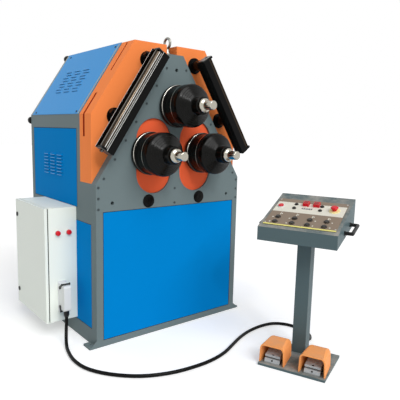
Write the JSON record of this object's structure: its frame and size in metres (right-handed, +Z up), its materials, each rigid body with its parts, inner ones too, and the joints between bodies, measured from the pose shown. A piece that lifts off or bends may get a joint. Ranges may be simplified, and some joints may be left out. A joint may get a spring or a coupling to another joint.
{
  "type": "angle roll bender",
  "caption": "Upright section bending machine with a fixed upper roll over sliding lower rolls, slanted guide beams, electric cabinet and a cable-linked control pedestal.",
  "frame": {"origin": "on the floor, midway between the four anchor holes of the base", "axes": "+X to the right along the front, +Y from the rolls to the back, +Z up"},
  "size_m": [1.415, 2.0862, 1.8675],
  "materials": {
    "grey_paint": "satin grey paint",
    "blue_paint": "gloss blue paint",
    "orange_paint": "satin orange paint",
    "black_steel": "blackened steel",
    "roll_steel": "dark turned tool steel",
    "bright_steel": "bright turned steel",
    "cabinet_paint": "light grey powder coat",
    "slate_paint": "blue-grey powder coat",
    "face_plate": "matt printed face",
    "black_plastic": "matt black plastic",
    "red_plastic": "gloss red plastic",
    "yellow_plastic": "gloss yellow plastic",
    "hood_metal": "grey cast metal",
    "cable_rubber": "matt black rubber"
  },
  "bodies": {
    "machine": {"base_frame": "grey_paint", "front_panel": "blue_paint", "base_panels": "blue_paint", "head_frame": "grey_paint", "front_plate": "grey_paint", "plate_fittings": "black_steel", "lift_cylinders": "slate_paint", "left_guard": "orange_paint", "right_guard": "orange_paint", "lifting_eye": "bright_steel", "casing_frame": "grey_paint", "casing_side_panels": "blue_paint", "casing_slope_panels": "blue_paint", "casing_rear_cover": "grey_paint", "left_guide_beam": "black_steel", "right_guide_beam": "black_steel", "guide_posts": "black_steel", "cabinet_box": "cabinet_paint", "cabinet_lamps": "red_plastic", "connector_base": "hood_metal", "connector_hood": "hood_metal", "cable_glands": "black_plastic", "cable": "cable_rubber", "pedestal_stand": "slate_paint", "console_box": "slate_paint", "console_panel": "face_plate", "console_handles": "black_plastic", "pedal_guards": "orange_paint", "stop_collar": "yellow_plastic"},
    "top_roll_set": {"top_spindle": "bright_steel", "top_roll": "roll_steel"},
    "left_slide": {"left_carriage": "orange_paint"},
    "left_roll_set": {"left_spindle": "bright_steel", "left_roll": "roll_steel"},
    "right_slide": {"right_carriage": "orange_paint"},
    "right_roll_set": {"right_spindle": "bright_steel", "right_roll": "roll_steel"},
    "left_guide_bar": {"left_guide_roller": "bright_steel"},
    "right_guide_bar": {"right_guide_roller": "bright_steel"},
    "door": {"cabinet_door": "cabinet_paint"},
    "upper_lock_cam": {"upper_lock": "black_plastic"},
    "lower_lock_cam": {"lower_lock": "black_plastic"},
    "upper_lever_arm": {"upper_lever": "black_plastic"},
    "lower_lever_arm": {"lower_lever": "black_plastic"},
    "left_treadle": {"left_pedal": "hood_metal"},
    "right_treadle": {"right_pedal": "hood_metal"},
    "stop_head": {"stop_button": "red_plastic"},
    "red_cap": {"red_button": "red_plastic"},
    "push_a1_cap": {"push_a1": "black_plastic"},
    "push_a2_cap": {"push_a2": "black_plastic"},
    "push_a3_cap": {"push_a3": "black_plastic"},
    "push_a4_cap": {"push_a4": "black_plastic"},
    "push_b1_cap": {"push_b1": "black_plastic"},
    "push_b2_cap": {"push_b2": "black_plastic"},
    "push_b3_cap": {"push_b3": "black_plastic"},
    "push_b4_cap": {"push_b4": "black_plastic"},
    "key_a1_cap": {"key_a1": "black_plastic"},
    "key_a2_cap": {"key_a2": "black_plastic"},
    "key_b1_cap": {"key_b1": "black_plastic"},
    "key_b2_cap": {"key_b2": "black_plastic"}
  },
  "joints": [
    {"name": "top_spin", "type": "hinge", "parent": "machine", "child": "top_roll_set", "pos_m": [0, -0.495, 1.438], "axis": [0, 1, 0], "continuous": true},
    {"name": "left_lift", "type": "slide", "parent": "machine", "child": "left_slide", "axis": [0, 0, 1], "range_m": [-0.07, 0.08]},
    {"name": "left_spin", "type": "hinge", "parent": "left_slide", "child": "left_roll_set", "pos_m": [-0.197, -0.495, 1.151], "axis": [0, 1, 0], "continuous": true},
    {"name": "right_lift", "type": "slide", "parent": "machine", "child": "right_slide", "axis": [0, 0, 1], "range_m": [-0.07, 0.08]},
    {"name": "right_spin", "type": "hinge", "parent": "right_slide", "child": "right_roll_set", "pos_m": [0.197, -0.495, 1.151], "axis": [0, 1, 0], "continuous": true},
    {"name": "left_guide_turn", "type": "hinge", "parent": "machine", "child": "left_guide_bar", "pos_m": [-0.35499, -0.563, 1.4698], "axis": [-0.5449, 0, -0.8385], "continuous": true},
    {"name": "right_guide_turn", "type": "hinge", "parent": "machine", "child": "right_guide_bar", "pos_m": [0.35499, -0.563, 1.4698], "axis": [0.5449, 0, -0.8385], "continuous": true},
    {"name": "door_swing", "type": "hinge", "parent": "machine", "child": "door", "pos_m": [-0.736, -0.227, 0.465], "axis": [0, 0, 1], "range_deg": [0, 110]},
    {"name": "upper_lock_turn", "type": "hinge", "parent": "door", "child": "upper_lock_cam", "pos_m": [-0.75, 0.237, 0.719], "axis": [1, 0, 0], "range_deg": [0, 90]},
    {"name": "lower_lock_turn", "type": "hinge", "parent": "door", "child": "lower_lock_cam", "pos_m": [-0.75, 0.237, 0.207], "axis": [1, 0, 0], "range_deg": [0, 90]},
    {"name": "upper_lever_turn", "type": "hinge", "parent": "machine", "child": "upper_lever_arm", "pos_m": [-0.65, -0.261, 0.334], "axis": [-1, 0, 0], "range_deg": [0, 60]},
    {"name": "lower_lever_turn", "type": "hinge", "parent": "machine", "child": "lower_lever_arm", "pos_m": [-0.65, -0.261, 0.214], "axis": [1, 0, 0], "range_deg": [0, 40]},
    {"name": "left_pedal_press", "type": "hinge", "parent": "machine", "child": "left_treadle", "pos_m": [0.26077, -1.20758, 0.079], "axis": [0.3697, -0.9291, 0], "range_deg": [0, 3.5], "stiffness_Nm_per_rad": 6, "springref_deg": -20.05},
    {"name": "right_pedal_press", "type": "hinge", "parent": "machine", "child": "right_treadle", "pos_m": [0.3447, -1.41849, 0.079], "axis": [0.3697, -0.9291, 0], "range_deg": [0, 3.5], "stiffness_Nm_per_rad": 6, "springref_deg": -20.05},
    {"name": "emergency_stop_press", "type": "slide", "parent": "machine", "child": "stop_head", "axis": [0.3173, 0.1263, -0.9399], "range_m": [0, 0.006]},
    {"name": "red_button_press", "type": "slide", "parent": "machine", "child": "red_cap", "axis": [0.3173, 0.1263, -0.9399], "range_m": [0, 0.004], "stiffness_N_per_m": 300, "springref_m": -0.004},
    {"name": "push_a1_press", "type": "slide", "parent": "machine", "child": "push_a1_cap", "axis": [0.3173, 0.1263, -0.9399], "range_m": [0, 0.004], "stiffness_N_per_m": 300, "springref_m": -0.004},
    {"name": "push_a2_press", "type": "slide", "parent": "machine", "child": "push_a2_cap", "axis": [0.3173, 0.1263, -0.9399], "range_m": [0, 0.004], "stiffness_N_per_m": 300, "springref_m": -0.004},
    {"name": "push_a3_press", "type": "slide", "parent": "machine", "child": "push_a3_cap", "axis": [0.3173, 0.1263, -0.9399], "range_m": [0, 0.004], "stiffness_N_per_m": 300, "springref_m": -0.004},
    {"name": "push_a4_press", "type": "slide", "parent": "machine", "child": "push_a4_cap", "axis": [0.3173, 0.1263, -0.9399], "range_m": [0, 0.004], "stiffness_N_per_m": 300, "springref_m": -0.004},
    {"name": "push_b1_press", "type": "slide", "parent": "machine", "child": "push_b1_cap", "axis": [0.3173, 0.1263, -0.9399], "range_m": [0, 0.004], "stiffness_N_per_m": 300, "springref_m": -0.004},
    {"name": "push_b2_press", "type": "slide", "parent": "machine", "child": "push_b2_cap", "axis": [0.3173, 0.1263, -0.9399], "range_m": [0, 0.004], "stiffness_N_per_m": 300, "springref_m": -0.004},
    {"name": "push_b3_press", "type": "slide", "parent": "machine", "child": "push_b3_cap", "axis": [0.3173, 0.1263, -0.9399], "range_m": [0, 0.004], "stiffness_N_per_m": 300, "springref_m": -0.004},
    {"name": "push_b4_press", "type": "slide", "parent": "machine", "child": "push_b4_cap", "axis": [0.3173, 0.1263, -0.9399], "range_m": [0, 0.004], "stiffness_N_per_m": 300, "springref_m": -0.004},
    {"name": "key_a1_press", "type": "slide", "parent": "machine", "child": "key_a1_cap", "axis": [0.3173, 0.1263, -0.9399], "range_m": [0, 0.004], "stiffness_N_per_m": 300, "springref_m": -0.004},
    {"name": "key_a2_press", "type": "slide", "parent": "machine", "child": "key_a2_cap", "axis": [0.3173, 0.1263, -0.9399], "range_m": [0, 0.004], "stiffness_N_per_m": 300, "springref_m": -0.004},
    {"name": "key_b1_press", "type": "slide", "parent": "machine", "child": "key_b1_cap", "axis": [0.3173, 0.1263, -0.9399], "range_m": [0, 0.004], "stiffness_N_per_m": 300, "springref_m": -0.004},
    {"name": "key_b2_press", "type": "slide", "parent": "machine", "child": "key_b2_cap", "axis": [0.3173, 0.1263, -0.9399], "range_m": [0, 0.004], "stiffness_N_per_m": 300, "springref_m": -0.004}
  ],
  "couplings": [
    {"joint": "left_spin", "follows": "top_spin", "ratio": -1},
    {"joint": "right_spin", "follows": "top_spin", "ratio": -1}
  ]
}
